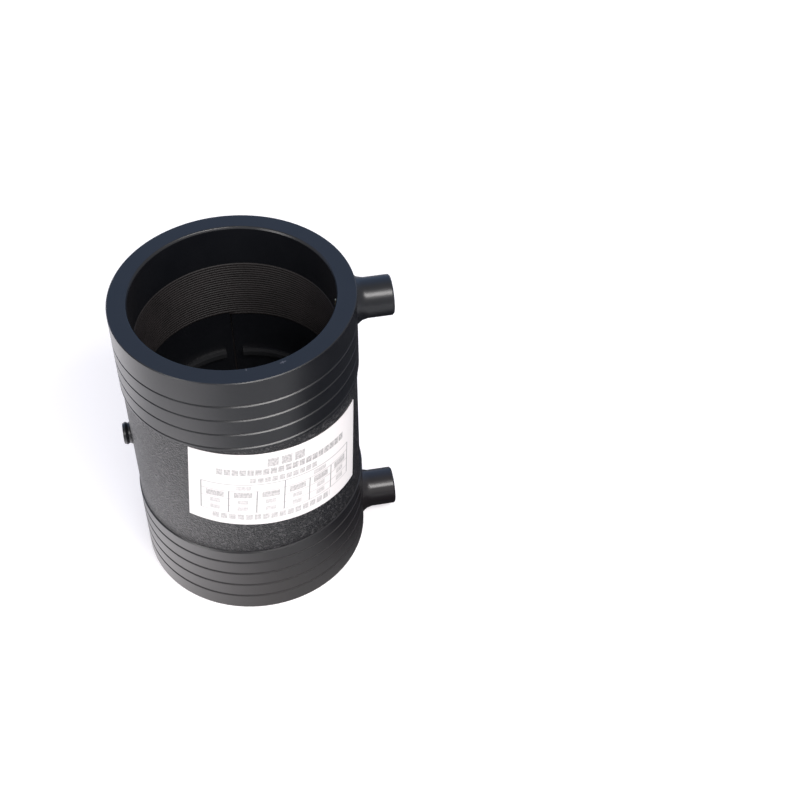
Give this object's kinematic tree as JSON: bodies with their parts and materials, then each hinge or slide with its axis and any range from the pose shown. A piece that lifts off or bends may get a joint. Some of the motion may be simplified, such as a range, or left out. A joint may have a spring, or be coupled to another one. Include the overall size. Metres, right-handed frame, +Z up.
{
  "type": "electrofusion coupler",
  "caption": "Electrofusion pipe coupler: black moulded sleeve with ringed ends, wound sockets, stop tabs at mid-length, shrouded contact pins on one side and a paper label.",
  "frame": {"origin": "on the bore's axis, in the plane of the lower end face on which the coupler stands", "axes": "+Z up along the bore, +X along the terminals, from the axis out through their mouths"},
  "size_m": [0.0904, 0.0768, 0.11],
  "materials": {
    "moulding": "black polyethylene, smooth at the ends, spark-textured in the middle",
    "winding": "coated resistance wire, close wound, dark grey",
    "contact": "turned, bright",
    "label": "satin white with grey print as bars and rules"
  },
  "bodies": {
    "root": {"coupler_body": "moulding", "heating_coil": "winding", "terminal_pin_upper": "contact", "terminal_pin_lower": "contact", "fusion_indicator_upper": "moulding", "fusion_indicator_lower": "moulding", "product_label": "label"}
  },
  "joints": []
}
